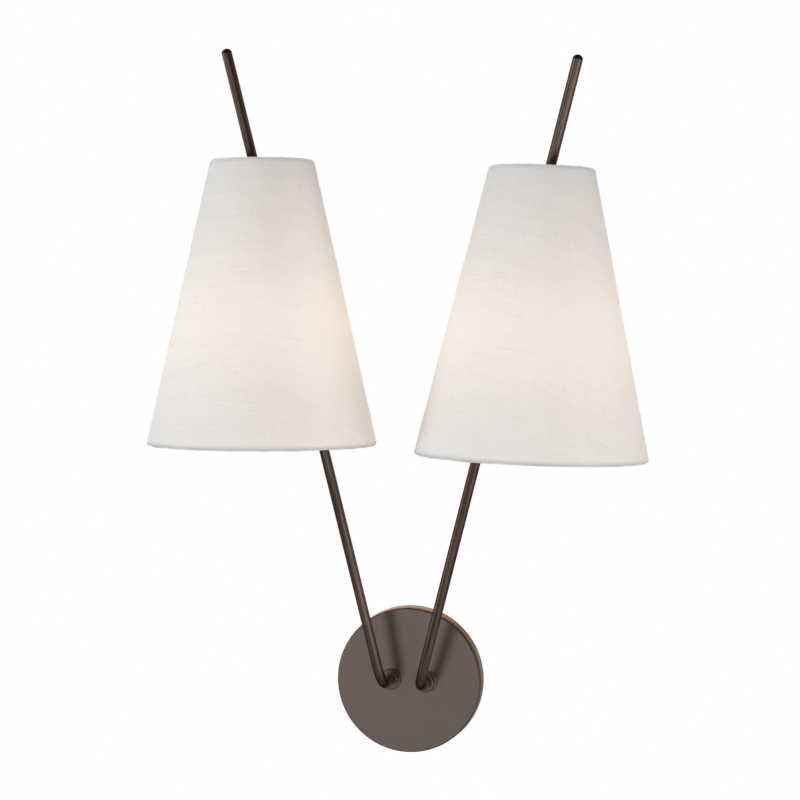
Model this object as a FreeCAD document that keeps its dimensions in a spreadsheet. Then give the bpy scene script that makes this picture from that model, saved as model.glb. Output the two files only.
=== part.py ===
import FreeCAD, Part

import math
import os
import re

import Sketcher

# Double arm wall sconce. Millimetres, +X right, +Y into the wall, +Z up.
# The origin is the middle of the canopy's back face, on the wall plane.

DIMENSIONS = {
    # Canopy: a shallow round cup, open towards the wall, a little narrower in front.
    "canopy_radius": 60.3,
    "canopy_front_radius": 59.7,
    "canopy_depth": 15.5,
    "canopy_wall": 1.2,
    "canopy_edge_round": 1.0,
    # Wall bracket: a flat ring with slots for the outlet box and two bent ears.
    "bracket_radius": 54.0,
    "bracket_window_radius": 26.0,
    "bracket_thickness": 1.6,
    "box_screw_spacing": 88.9,
    "box_slot_length": 12.0,
    "box_slot_width": 4.8,
    "ear_width": 14.0,
    "ear_length": 11.0,
    "ear_clearance": 0.3,
    # Set screw that holds the canopy on the lower ear.
    "set_screw_radius": 2.0,
    "set_screw_length": 7.0,
    "set_screw_depth": 7.5,
    # Ground screw and the bare wire under its head.
    "ground_screw_x": 36.0,
    "ground_screw_drop": 16.0,
    "ground_screw_radius": 1.9,
    "ground_head_radius": 4.2,
    "ground_head_height": 2.2,
    "ground_wire_radius": 0.7,
    "ground_wire_tail": 2.8,
    "ground_wire_run": 7.0,
    "ground_bend_drop": 2.0,
    "ground_nut_rise": 4.0,
    # Arms: bent steel tube, splayed sideways and leaning out from the wall.
    "arm_spacing": 30.0,
    "arm_radius": 3.97,
    "arm_wall": 0.9,
    "arm_reach": 50.8,
    "arm_bend_radius": 18.0,
    "arm_splay_angle": 13.67,
    "arm_lean_angle": 10.0,
    "arm_length": 525.9,
    "cap_height": 3.0,
    "cap_plug_length": 7.0,
    # Collars that the arms leave the canopy through, and what clamps them.
    "collar_flange_radius": 8.6,
    "collar_flange_height": 3.0,
    "collar_ring_radius": 6.4,
    "collar_height": 6.5,
    "collar_chamfer": 0.6,
    "nipple_radius": 5.1,
    "nipple_bore_radius": 3.1,
    "nipple_inside": 6.0,
    "nipple_engagement": 3.0,
    "washer_radius": 8.2,
    "washer_thickness": 0.8,
    "washer_notch_width": 1.4,
    "washer_notch_depth": 1.3,
    "washer_notches": 12,
    "nut_across_corners": 16.2,
    "nut_height": 4.2,
    # Socket carriers: a clamp on the arm, a web and a cup beside the arm.
    "carrier_rise": 21.0,
    "carrier_clamp_radius": 7.5,
    "carrier_clamp_length": 12.0,
    "carrier_web_width": 8.0,
    "carrier_web_height": 8.0,
    "carrier_cup_wall": 1.8,
    "carrier_cup_depth": 10.0,
    "carrier_floor": 2.0,
    "clamp_screw_radius": 1.5,
    "clamp_screw_length": 4.5,
    # Candelabra sockets, their brass screw shells and centre contacts.
    "socket_offset": 30.0,
    "socket_radius": 11.0,
    "socket_length": 38.0,
    "socket_cavity_radius": 7.2,
    "socket_cavity_depth": 26.0,
    "socket_shell_wall": 0.5,
    "socket_shell_length": 18.0,
    "socket_shell_inset": 2.0,
    "contact_radius": 2.2,
    "contact_height": 1.4,
    # Torpedo bulbs with candelabra screw caps.
    "bulb_cap_radius": 6.2,
    "bulb_cap_length": 19.0,
    "bulb_eyelet_radius": 2.4,
    "bulb_eyelet_height": 1.2,
    "bulb_insulator_height": 2.4,
    "bulb_recess_depth": 4.0,
    "bulb_neck_radius": 5.3,
    "bulb_neck_length": 6.0,
    "bulb_glass_radius": 17.5,
    "bulb_glass_length": 80.0,
    "bulb_glass_wall": 0.8,
    "bulb_stem_radius": 2.0,
    "bulb_stem_length": 24.0,
    "filament_radius": 0.35,
    "filament_width": 12.0,
    "filament_rise": 12.0,
    # Tapered shades, each held by a hub that slides on its arm.
    "hub_height": 407.4,
    "hub_radius": 7.0,
    "hub_length": 12.0,
    "stop_radius": 6.2,
    "stop_length": 6.0,
    "lock_screw_radius": 1.6,
    "lock_head_radius": 3.6,
    "lock_head_length": 5.0,
    "lock_screw_reach": 7.0,
    "shade_bottom_radius": 90.5,
    "shade_top_radius": 40.4,
    "shade_height": 223.2,
    "shade_hub_drop": 29.4,
    "shade_fabric": 0.6,
    "shade_liner": 0.5,
    "shade_wire_radius": 1.25,
    "shade_wire_inset": 2.2,
    "spider_arms": 3,
    "hem_thickness": 0.5,
    "hem_bottom_height": 5.0,
    "hem_top_height": 3.2,
    "left_shade_tilt": 1.9,
    "right_shade_tilt": 0.0,
    "shade_back_tilt": 0.5,
    # Wiring: one jacketed pair in each arm, its tails and the wire nuts.
    "cable_radius": 1.5,
    "cable_bend_radius": 8.0,
    "cable_canopy_bend": 4.0,
    "cable_canopy_drop": 16.0,
    "cable_wall_distance": 4.2,
    "cable_exit_height": 211.0,
    "cable_exit_rise": 8.0,
    "exit_slot_length": 11.0,
    "exit_slot_width": 4.0,
    "tail_radius": 0.7,
    "hot_crossing_distance": 11.9,
    "neutral_crossing_distance": 5.5,
    "wire_nut_radius": 4.6,
    "wire_nut_tip_radius": 3.3,
    "wire_nut_length": 17.0,
    "wire_nut_bore_radius": 2.2,
    "wire_nut_bore_depth": 9.0,
    "wire_nut_spacing": 18.0,
    "wire_nut_mouth_drop": 27.0,
    "wire_nut_wall_distance": 8.5,
    # Clearances between pieces that fit into or lie against each other.
    "press_fit": 0.05,
    "slip_fit": 0.1,
    "loose_fit": 0.3,
}

FULL_TURN = 360.0
SIDES = (("left", -1), ("right", 1))

doc = FreeCAD.newDocument("wall_sconce")
sheet = doc.addObject("Spreadsheet::Sheet", "Dimensions")
for row, (alias, number) in enumerate(DIMENSIONS.items(), start=1):
    sheet.set("A%d" % row, alias.replace("_", " "))
    sheet.set("B%d" % row, str(number))
    sheet.setAlias("B%d" % row, alias)
doc.recompute()

subparts = []


# ---- the sheet's names in expressions ------------------------------------------------

def bound(expression):
    """The expression with each dimension's name turned into its cell."""
    def cell(word):
        return "Dimensions." + word.group() if word.group() in DIMENSIONS else word.group()

    return re.sub(r"[a-z_]+", cell, expression)


def value(expression):
    """The number that an expression in the dimensions' names gives now."""
    return float(sheet.evalExpression(bound(expression)))


def bind(feature, **properties):
    """Tie the feature's properties to expressions in the dimensions' names."""
    for name, expression in properties.items():
        feature.setExpression(name, bound(expression))


def vector(x, y, z):
    """A point whose coordinates are numbers or expressions."""
    return FreeCAD.Vector(*[value(c) if isinstance(c, str) else c for c in (x, y, z)])


def finish(feature, label, placement):
    """Name a sub-part, put it in its place and keep it for the export."""
    feature.Label = label
    feature.Placement = placement
    subparts.append(feature)
    return feature


# ---- frames ---------------------------------------------------------------------------

X = FreeCAD.Vector(1, 0, 0)
Y = FreeCAD.Vector(0, 1, 0)
Z = FreeCAD.Vector(0, 0, 1)


def frame_at(origin, z_axis, x_hint):
    """A placement with its Z along one direction and its X near another."""
    return FreeCAD.Placement(origin, FreeCAD.Rotation(x_hint, FreeCAD.Vector(), z_axis, "ZXY"))


def shift(x=0.0, y=0.0, z=0.0):
    """A plain move inside a frame."""
    return FreeCAD.Placement(vector(x, y, z), FreeCAD.Rotation())


def out_of_wall(x, y, z):
    """A frame whose Z points out from the wall, its X along the wall."""
    return frame_at(vector(x, y, z), -Y, X)


def arm_corner(side):
    """Where the arm's two straight runs would meet."""
    return vector("%d * arm_spacing / 2" % side, "-arm_reach", 0.0)


def arm_direction(side):
    """The arm's long straight run, up, outward and away from the wall."""
    direction = FreeCAD.Vector(
        side * math.tan(math.radians(value("arm_splay_angle"))),
        -math.tan(math.radians(value("arm_lean_angle"))),
        1.0,
    )
    return direction.normalize()


def arm_frame(side, height):
    """A frame on the arm: Z along it, X towards the bulb beside it."""
    direction = arm_direction(side)
    towards_bulb = FreeCAD.Vector(direction.x, direction.y, 0.0)
    return frame_at(arm_corner(side) + direction * value(height), direction, towards_bulb)


def shade_frame(side, height="0"):
    """A frame on the shade's own axis, which crosses the arm at the hub."""
    tilt = value("left_shade_tilt" if side < 0 else "right_shade_tilt")
    axis = FreeCAD.Vector(
        side * math.sin(math.radians(tilt)),
        math.sin(math.radians(value("shade_back_tilt"))),
        1.0,
    ).normalize()
    hub = arm_frame(side, "hub_height").Base
    bottom = hub - axis * value("shade_height - shade_hub_drop")
    direction = arm_direction(side)
    return frame_at(bottom + axis * value(height), axis, FreeCAD.Vector(direction.x, direction.y, 0.0))


# ---- ways of making a piece -----------------------------------------------------------

def origin_plane(body, role):
    return next(f for f in body.Origin.OriginFeatures if f.Role == role)


def new_body(name):
    return doc.addObject("PartDesign::Body", name)


def outline_sketch(body, role, name, corners):
    """A closed outline of straight edges, each corner a pair of bound expressions."""
    sketch = body.newObject("Sketcher::SketchObject", name)
    sketch.AttachmentSupport = [(origin_plane(body, role), "")]
    sketch.MapMode = "FlatFace"
    points = [vector(a, b, 0.0) for a, b in corners]
    for start, end in zip(points, points[1:] + points[:1]):
        sketch.addGeometry(Part.LineSegment(start, end), False)
    for index in range(len(points)):
        before = index - 1 if index else len(points) - 1
        sketch.addConstraint(Sketcher.Constraint("Coincident", before, 2, index, 1))
    for index, (point, corner) in enumerate(zip(points, corners)):
        for kind, axis_line, number, expression in (
            ("DistanceX", -2, point.x, corner[0]),
            ("DistanceY", -1, point.y, corner[1]),
        ):
            if expression == "0":
                sketch.addConstraint(Sketcher.Constraint("PointOnObject", index, 1, axis_line))
                continue
            place = sketch.addConstraint(Sketcher.Constraint(kind, -1, 1, index, 1, number))
            sketch.setExpression("Constraints[%d]" % place, bound(expression))
    return sketch


def turned(name, corners):
    """A body turned about its own Z from an outline of (radius, height) corners."""
    body = new_body(name)
    sketch = outline_sketch(body, "XZ_Plane", name + "_outline", corners)
    turning = body.newObject("PartDesign::Revolution", name + "_turning")
    turning.Profile = sketch
    turning.ReferenceAxis = (sketch, ["V_Axis"])
    turning.Angle = FULL_TURN
    sketch.Visibility = False
    doc.recompute()
    return body


def circle_sketch(body, role, name, circles):
    """Circles given as (across, up, radius) expressions."""
    sketch = body.newObject("Sketcher::SketchObject", name)
    sketch.AttachmentSupport = [(origin_plane(body, role), "")]
    sketch.MapMode = "FlatFace"
    for index, (across, up, radius) in enumerate(circles):
        centre = vector(across, up, 0.0)
        sketch.addGeometry(Part.Circle(centre, Z, value(radius)), False)
        place = sketch.addConstraint(Sketcher.Constraint("Radius", index, value(radius)))
        sketch.setExpression("Constraints[%d]" % place, bound(radius))
        for kind, axis_line, number, expression in (
            ("DistanceX", -2, centre.x, across),
            ("DistanceY", -1, centre.y, up),
        ):
            if expression == "0":
                sketch.addConstraint(Sketcher.Constraint("PointOnObject", index, 3, axis_line))
                continue
            place = sketch.addConstraint(Sketcher.Constraint(kind, -1, 1, index, 3, number))
            sketch.setExpression("Constraints[%d]" % place, bound(expression))
    return sketch


def cylinder(name, radius, height, placement=None):
    feature = doc.addObject("Part::Cylinder", name)
    bind(feature, Radius=radius, Height=height)
    feature.Placement = placement or FreeCAD.Placement()
    return feature


def box(name, length, width, height, placement=None):
    """A block centred on its own Z axis, standing on its base."""
    feature = doc.addObject("Part::Box", name)
    bind(feature, Length=length, Width=width, Height=height)
    centring = shift("-(%s) / 2" % length, "-(%s) / 2" % width)
    feature.Placement = (placement or FreeCAD.Placement()) * centring
    return feature


def fused(name, features):
    feature = doc.addObject("Part::MultiFuse", name)
    feature.Shapes = features
    feature.Refine = True
    return feature


def without(name, base, tools):
    """The base with the tools cut out of it."""
    tool = tools[0] if len(tools) == 1 else fused(name + "_tools", tools)
    feature = doc.addObject("Part::Cut", name)
    feature.Base = base
    feature.Tool = tool
    feature.Refine = True
    return feature


def grouped(name, features):
    feature = doc.addObject("Part::Compound", name)
    feature.Links = features
    return feature


def shaped(name, shape):
    feature = doc.addObject("Part::Feature", name)
    feature.Shape = shape
    return feature


def rounded_path(points, radii):
    """Straight runs through the points, joined by tangent arcs of the given radii."""
    edges = []
    start = points[0]
    for before, corner, after, radius in zip(points, points[1:], points[2:], radii):
        inward = (before - corner).normalize()
        outward = (after - corner).normalize()
        half_turn = (math.pi - inward.getAngle(outward)) / 2
        reach = radius * math.tan(half_turn)
        bisector = (inward + outward).normalize()
        middle = corner + bisector * (radius / math.cos(half_turn) - radius)
        arc_start = corner + inward * reach
        arc_end = corner + outward * reach
        edges.append(Part.LineSegment(start, arc_start).toShape())
        edges.append(Part.Arc(arc_start, middle, arc_end).toShape())
        start = arc_end
    edges.append(Part.LineSegment(start, points[-1]).toShape())
    return Part.Wire(edges)


def swept(path, radius):
    """A round bar along the path."""
    first = path.Edges[0]
    start = first.valueAt(first.FirstParameter)
    direction = first.tangentAt(first.FirstParameter)
    section = Part.Wire([Part.makeCircle(radius, start, direction)])
    bar = path.makePipeShell([section], True, False)
    wanted = math.pi * radius**2 * path.Length
    if abs(bar.Volume / wanted - 1) > 0.002:
        raise ValueError("a swept bar has %.3f of its section times its length" % (bar.Volume / wanted))
    return bar


# ---- canopy and wall bracket ----------------------------------------------------------

def make_canopy():
    canopy = turned("canopy", [
        ("canopy_radius - canopy_wall", "0"),
        ("canopy_radius", "0"),
        ("canopy_front_radius", "canopy_depth"),
        ("0", "canopy_depth"),
        ("0", "canopy_depth - canopy_wall"),
        ("canopy_front_radius - canopy_wall", "canopy_depth - canopy_wall"),
    ])
    arm_holes = circle_sketch(canopy, "XY_Plane", "canopy_arm_holes", [
        ("arm_spacing / 2", "0", "nipple_radius + slip_fit"),
        ("-arm_spacing / 2", "0", "nipple_radius + slip_fit"),
    ])
    drilling = canopy.newObject("PartDesign::Pocket", "canopy_arm_drilling")
    drilling.Profile = arm_holes
    drilling.Type = "ThroughAll"
    drilling.Midplane = True
    # The set screw's hole is drilled upwards through the lower wall. The sketch plane's
    # Y runs along the canopy's own Z, out from the wall.
    screw_hole = circle_sketch(canopy, "XZ_Plane", "canopy_screw_hole", [
        ("0", "set_screw_depth", "set_screw_radius + slip_fit"),
    ])
    boring = canopy.newObject("PartDesign::Pocket", "canopy_screw_drilling")
    boring.Profile = screw_hole
    boring.Type = "Length"
    bind(boring, Length="canopy_radius * 1.1")
    boring.Reversed = True
    doc.recompute()
    front_rim = [
        "Edge%d" % number
        for number, edge in enumerate(boring.Shape.Edges, start=1)
        if abs(edge.BoundBox.ZMin - value("canopy_depth")) < 0.01
        and edge.BoundBox.XLength > value("canopy_front_radius * 1.9")
    ]
    rounding = canopy.newObject("PartDesign::Fillet", "canopy_edge_rounding")
    rounding.Base = (boring, front_rim)
    bind(rounding, Radius="canopy_edge_round")
    finish(canopy, "canopy", out_of_wall(0.0, 0.0, 0.0))


def make_wall_bracket():
    # Built with its Z out from the wall and its Y up the wall.
    ear_edge = "canopy_front_radius - canopy_wall - ear_clearance"
    ear_edge_flat = "sqrt((%s) ^ 2 - (ear_width / 2) ^ 2)" % ear_edge
    ring = cylinder("bracket_ring", "bracket_radius", "bracket_thickness")
    neck = box("bracket_necks", "ear_width", "2 * " + ear_edge_flat, "bracket_thickness")
    ears = []
    for name, side in (("lower", -1), ("upper", 1)):
        offset = "%d * (%s - bracket_thickness / 2)" % (side, ear_edge_flat)
        ears.append(box("bracket_%s_ear" % name, "ear_width", "bracket_thickness", "ear_length",
                        shift(0.0, offset, 0.0)))
    tools = [cylinder("bracket_window", "bracket_window_radius", "bracket_thickness")]
    for name, side in SIDES:
        middle = "%d * box_screw_spacing / 2" % side
        half_run = "(box_slot_length - box_slot_width) / 2"
        tools.append(box("bracket_%s_slot" % name, "box_slot_length - box_slot_width", "box_slot_width",
                         "bracket_thickness", shift(middle)))
        for end in (-1, 1):
            tools.append(cylinder("bracket_%s_slot_end" % name, "box_slot_width / 2", "bracket_thickness",
                                  shift("%s + %d * %s" % (middle, end, half_run))))
    tools.append(cylinder("bracket_ground_hole", "ground_screw_radius + press_fit", "bracket_thickness",
                          shift("-ground_screw_x", "-ground_screw_drop")))
    tools.append(cylinder("bracket_screw_hole", "set_screw_radius + press_fit", "canopy_radius",
                          frame_at(vector(0.0, "-canopy_radius", "set_screw_depth"), Y, X)))
    # All the openings are punched through the joined blank.
    bracket = without("bracket_plate", fused("bracket_blank", [ring, neck] + ears), tools)
    finish(bracket, "wall_bracket", out_of_wall(0.0, 0.0, 0.0))


def make_set_screw():
    screw = without(
        "set_screw_cut",
        cylinder("set_screw_body", "set_screw_radius", "set_screw_length"),
        [hexagon("set_screw_socket", "set_screw_radius", "set_screw_length / 3")],
    )
    start = vector(0.0, "-set_screw_depth", "-(canopy_front_radius)")
    finish(screw, "canopy_set_screw", frame_at(start, Z, X))


def hexagon(name, across_corners, height, placement=None):
    prism = doc.addObject("Part::Prism", name)
    prism.Polygon = 6
    bind(prism, Circumradius="(%s) / 2" % across_corners, Height=height)
    prism.Placement = placement or FreeCAD.Placement()
    return prism


def ground_wire_gap():
    return "bracket_thickness + 2 * (ground_wire_radius + slip_fit)"


def make_ground_screw():
    screw = turned("ground_screw", [
        ("0", "0"),
        ("ground_screw_radius", "0"),
        ("ground_screw_radius", ground_wire_gap()),
        ("ground_head_radius", ground_wire_gap()),
        ("ground_head_radius", ground_wire_gap() + " + ground_head_height"),
        ("0", ground_wire_gap() + " + ground_head_height"),
    ])
    finish(screw, "ground_screw", out_of_wall("-ground_screw_x", 0.0, "-ground_screw_drop"))


# ---- what holds the arms on the canopy ------------------------------------------------

def make_collar(name, side):
    collar = turned(name + "_arm_collar", [
        ("nipple_radius + press_fit", "0"),
        ("collar_flange_radius", "0"),
        ("collar_flange_radius", "collar_flange_height - collar_chamfer"),
        ("collar_flange_radius - collar_chamfer", "collar_flange_height"),
        ("collar_ring_radius", "collar_flange_height"),
        ("collar_ring_radius", "collar_height - collar_chamfer"),
        ("collar_ring_radius - collar_chamfer", "collar_height"),
        ("arm_radius + press_fit", "collar_height"),
        ("arm_radius + press_fit", "nipple_engagement + press_fit"),
        ("nipple_radius + press_fit", "nipple_engagement + press_fit"),
    ])
    finish(collar, name + "_arm_collar", out_of_wall("%d * arm_spacing / 2" % side, "-canopy_depth", 0.0))


def make_nipple(name, side):
    length = "nipple_inside + canopy_wall + nipple_engagement"
    nipple = turned(name + "_arm_nipple", [
        ("nipple_bore_radius", "0"),
        ("nipple_radius", "0"),
        ("nipple_radius", length),
        ("nipple_bore_radius", length),
    ])
    inner_end = "-(canopy_depth - canopy_wall - nipple_inside)"
    finish(nipple, name + "_arm_nipple", out_of_wall("%d * arm_spacing / 2" % side, inner_end, 0.0))


def make_lock_washers():
    washers = []
    for name, side in SIDES:
        body = new_body(name + "_washer")
        ring = circle_sketch(body, "XY_Plane", name + "_washer_ring", [
            ("0", "0", "washer_radius"),
            ("0", "0", "nipple_radius + slip_fit"),
        ])
        stamping = body.newObject("PartDesign::Pad", name + "_washer_stamping")
        stamping.Profile = ring
        bind(stamping, Length="washer_thickness")
        notch = outline_sketch(body, "XY_Plane", name + "_washer_notch", [
            ("washer_radius - washer_notch_depth", "-washer_notch_width / 2"),
            ("washer_radius + washer_notch_depth", "-washer_notch_width / 2"),
            ("washer_radius + washer_notch_depth", "washer_notch_width / 2"),
            ("washer_radius - washer_notch_depth", "washer_notch_width / 2"),
        ])
        notching = body.newObject("PartDesign::Pocket", name + "_washer_notching")
        notching.Profile = notch
        notching.Type = "ThroughAll"
        notching.Midplane = True
        doc.recompute()
        pattern = body.newObject("PartDesign::PolarPattern", name + "_washer_teeth")
        pattern.Originals = [notching]
        pattern.Axis = (ring, ["N_Axis"])
        pattern.Angle = FULL_TURN
        bind(pattern, Occurrences="washer_notches")
        body.Tip = pattern
        seat = "-(canopy_depth - canopy_wall - washer_thickness)"
        body.Placement = out_of_wall("%d * arm_spacing / 2" % side, seat, 0.0)
        washers.append(body)
    finish(grouped("lock_washer_pair", washers), "arm_lock_washers", FreeCAD.Placement())


def make_lock_nuts():
    nuts = []
    for name, side in SIDES:
        nut = without(
            name + "_nut",
            hexagon(name + "_nut_blank", "nut_across_corners", "nut_height"),
            [cylinder(name + "_nut_bore", "nipple_radius + press_fit", "nut_height")],
        )
        seat = "-(canopy_depth - canopy_wall - washer_thickness - nut_height)"
        nut.Placement = out_of_wall("%d * arm_spacing / 2" % side, seat, 0.0)
        nuts.append(nut)
    finish(grouped("lock_nut_pair", nuts), "arm_lock_nuts", FreeCAD.Placement())


# ---- arms -----------------------------------------------------------------------------

def arm_start(side):
    """The tube's lower end, seated in its collar against the nipple."""
    return vector("%d * arm_spacing / 2" % side, "-(canopy_depth + nipple_engagement + slip_fit)", 0.0)


def make_arm_tube(name, side):
    tube_end = arm_frame(side, "arm_length - cap_height").Base
    path = rounded_path([arm_start(side), arm_corner(side), tube_end], [value("arm_bend_radius")])
    bar = shaped(name + "_arm_bar", swept(path, value("arm_radius")))
    bore = shaped(name + "_arm_bore", swept(path, value("arm_radius - arm_wall")))
    slot_start = arm_frame(side, "cable_exit_height - exit_slot_length / 2")
    slot = box(name + "_arm_exit_slot", "2 * arm_radius", "exit_slot_width", "exit_slot_length",
               slot_start * shift("arm_radius"))
    finish(without(name + "_arm", bar, [bore, slot]), name + "_arm_tube", FreeCAD.Placement())


def turned_face(edges):
    """A solid turned about Z from a closed outline in the XZ plane."""
    return Part.Face(Part.Wire(Part.__sortEdges__(edges))).revolve(FreeCAD.Vector(), Z, FULL_TURN)


def line(start, end):
    return Part.LineSegment(start, end).toShape()


def make_arm_cap(name, side):
    """A plug in the tube's open end with a low dome on it."""
    radius = value("arm_radius")
    plug = value("arm_radius - arm_wall - press_fit")
    dome = value("cap_height")
    plug_bottom = -value("cap_plug_length")
    corners = [
        FreeCAD.Vector(0, 0, dome),
        FreeCAD.Vector(0, 0, plug_bottom),
        FreeCAD.Vector(plug, 0, plug_bottom),
        FreeCAD.Vector(plug, 0, value("press_fit")),
        FreeCAD.Vector(radius, 0, value("press_fit")),
    ]
    edges = [line(a, b) for a, b in zip(corners, corners[1:])]
    # The dome is part of a ball whose middle lies on the tube's axis.
    rise = dome - value("press_fit")
    ball = (radius**2 + rise**2) / (2 * rise)
    half_angle = math.asin(radius / ball) / 2
    middle = FreeCAD.Vector(ball * math.sin(half_angle), 0, dome - ball + ball * math.cos(half_angle))
    edges.append(Part.Arc(corners[-1], middle, corners[0]).toShape())
    cap = shaped(name + "_arm_cap_body", turned_face(edges))
    finish(cap, name + "_arm_cap", arm_frame(side, "arm_length - cap_height"))


# ---- sockets and their carriers -------------------------------------------------------

CARRIER_FOOT = "cable_exit_height + carrier_rise"


def make_carrier(name, side):
    """Clamp, web and cup in one casting; the cup stands beside the arm."""
    cup_radius = "socket_radius + press_fit + carrier_cup_wall"
    clamp = cylinder(name + "_carrier_clamp", "carrier_clamp_radius", "carrier_clamp_length")
    web = box(name + "_carrier_web", "socket_offset", "carrier_web_width", "carrier_web_height",
              shift("socket_offset / 2"))
    cup = cylinder(name + "_carrier_cup", cup_radius, "carrier_cup_depth", shift("socket_offset"))
    arm_bore = cylinder(name + "_carrier_bore", "arm_radius + press_fit", "carrier_clamp_length")
    seat = cylinder(name + "_carrier_seat", "socket_radius + press_fit", "carrier_cup_depth",
                    shift("socket_offset", 0.0, "carrier_floor"))
    wire_hole = cylinder(name + "_carrier_wire_hole", "cable_radius + loose_fit", "carrier_floor",
                         shift("socket_offset"))
    screw_hole = cylinder(name + "_carrier_screw_hole", "clamp_screw_radius + press_fit",
                          "carrier_clamp_radius",
                          frame_at(vector(0.0, 0.0, "carrier_clamp_length / 2"), -X, Z))
    casting = fused(name + "_carrier_blank", [clamp, web, cup])
    carrier = without(name + "_carrier", casting, [arm_bore, seat, wire_hole, screw_hole])
    finish(carrier, name + "_socket_carrier", arm_frame(side, CARRIER_FOOT))


def make_clamp_screw(name, side):
    screw = without(
        name + "_clamp_screw_cut",
        cylinder(name + "_clamp_screw_body", "clamp_screw_radius", "clamp_screw_length"),
        [hexagon(name + "_clamp_screw_socket", "clamp_screw_radius", "clamp_screw_length / 3",
                 shift(0.0, 0.0, "clamp_screw_length * 2 / 3"))],
    )
    place = arm_frame(side, CARRIER_FOOT + " + carrier_clamp_length / 2")
    inward = frame_at(vector("-(arm_radius + press_fit)", 0.0, 0.0), -X, Z)
    finish(screw, name + "_carrier_screw", place * inward)


def socket_frame(side, height):
    foot = CARRIER_FOOT + " + carrier_floor + press_fit + " + height
    return arm_frame(side, foot) * shift("socket_offset")


def make_socket(name, side):
    body = turned(name + "_socket_body", [
        ("cable_radius + loose_fit", "0"),
        ("socket_radius", "0"),
        ("socket_radius", "socket_length"),
        ("socket_cavity_radius", "socket_length"),
        ("socket_cavity_radius", "socket_length - socket_cavity_depth"),
        ("cable_radius + loose_fit", "socket_length - socket_cavity_depth"),
    ])
    finish(body, name + "_socket_body", socket_frame(side, "0"))
    shell = turned(name + "_socket_shell", [
        ("socket_cavity_radius - press_fit - socket_shell_wall", "0"),
        ("socket_cavity_radius - press_fit", "0"),
        ("socket_cavity_radius - press_fit", "socket_shell_length"),
        ("socket_cavity_radius - press_fit - socket_shell_wall", "socket_shell_length"),
    ])
    shell_foot = "socket_length - socket_shell_inset - socket_shell_length"
    finish(shell, name + "_socket_shell", socket_frame(side, shell_foot))
    contact = turned(name + "_socket_contact", [
        ("0", "0"),
        ("contact_radius + loose_fit", "0"),
        ("contact_radius", "contact_height"),
        ("0", "contact_height"),
    ])
    contact_foot = "socket_length - socket_cavity_depth + press_fit"
    finish(contact, name + "_socket_contact", socket_frame(side, contact_foot))


# ---- bulbs ----------------------------------------------------------------------------

BULB_FOOT = "socket_length - socket_cavity_depth + press_fit + contact_height + loose_fit"


def make_bulb_cap(name, side):
    sleeve_start = "bulb_eyelet_height + bulb_insulator_height"
    cap = turned(name + "_bulb_cap", [
        ("0", "0"),
        ("bulb_eyelet_radius", "0"),
        ("bulb_eyelet_radius", "bulb_eyelet_height"),
        ("bulb_cap_radius", sleeve_start),
        ("bulb_cap_radius", "bulb_cap_length"),
        ("bulb_neck_radius + loose_fit", "bulb_cap_length"),
        ("bulb_neck_radius + loose_fit", "bulb_cap_length - bulb_recess_depth"),
        ("0", "bulb_cap_length - bulb_recess_depth"),
    ])
    finish(cap, name + "_bulb_cap", socket_frame(side, BULB_FOOT))


def glass_curve(inset):
    """The torpedo's outline from the neck to the tip, drawn in by the inset."""
    radius = value("bulb_glass_radius")
    neck = value("bulb_neck_radius")
    neck_end = value("bulb_neck_length")
    swell = value("bulb_glass_length") - neck_end
    stations = ((0.16, 0.70), (0.34, 1.0), (0.56, 0.84), (0.80, 0.42), (0.93, 0.16))
    points = [FreeCAD.Vector(neck - inset, 0, neck_end)]
    for along, share in stations:
        points.append(FreeCAD.Vector(radius * share - inset, 0, neck_end + along * swell))
    points.append(FreeCAD.Vector(0, 0, neck_end + swell - inset))
    curve = Part.BSplineCurve()
    curve.interpolate(points, InitialTangent=Z, FinalTangent=-X)
    return curve.toShape(), points[0], points[-1]


def make_bulb_glass(name, side):
    wall = value("bulb_glass_wall")
    outer, outer_neck, outer_tip = glass_curve(0.0)
    inner, inner_neck, inner_tip = glass_curve(wall)
    outer_foot = FreeCAD.Vector(outer_neck.x, 0, 0)
    inner_foot = FreeCAD.Vector(inner_neck.x, 0, 0)
    edges = [
        line(outer_foot, outer_neck),
        outer,
        line(outer_tip, inner_tip),
        inner,
        line(inner_neck, inner_foot),
        line(inner_foot, outer_foot),
    ]
    glass = shaped(name + "_bulb_envelope", turned_face(edges))
    foot = BULB_FOOT + " + bulb_cap_length - bulb_recess_depth + loose_fit"
    finish(glass, name + "_bulb_glass", socket_frame(side, foot))


def make_filament(name, side):
    """The glass stem and the bent wire that stands on it, made as one mount."""
    stem_radius = value("bulb_stem_radius")
    stem_top = value("bulb_stem_length")
    wire = value("filament_radius")
    half = value("filament_width") / 2
    top = stem_top + value("filament_rise")
    flare = Part.makeCylinder(value("bulb_neck_radius - bulb_glass_wall - slip_fit"), 2 * stem_radius)
    stem = Part.makeCylinder(stem_radius, stem_top)
    start = stem_radius / 2
    hairpin = rounded_path(
        [
            FreeCAD.Vector(-start, 0, stem_top - stem_radius),
            FreeCAD.Vector(-start, 0, stem_top + stem_radius),
            FreeCAD.Vector(-half, 0, top),
            FreeCAD.Vector(half, 0, top),
            FreeCAD.Vector(start, 0, stem_top + stem_radius),
            FreeCAD.Vector(start, 0, stem_top - stem_radius),
        ],
        [4 * wire] * 4,
    )
    mount = flare.fuse([stem, swept(hairpin, wire)])
    foot = BULB_FOOT + " + bulb_cap_length - bulb_recess_depth + loose_fit"
    finish(shaped(name + "_filament_mount", mount), name + "_bulb_filament", socket_frame(side, foot))


# ---- shades ---------------------------------------------------------------------------

SHADE_SLOPE = "(shade_bottom_radius - shade_top_radius) / shade_height"


def wall_radius(height, inset):
    """The shade's radius at a height above its bottom edge, inset from the fabric's outside."""
    return "shade_bottom_radius - (%s) * %s - (%s)" % (height, SHADE_SLOPE, inset)


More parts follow.
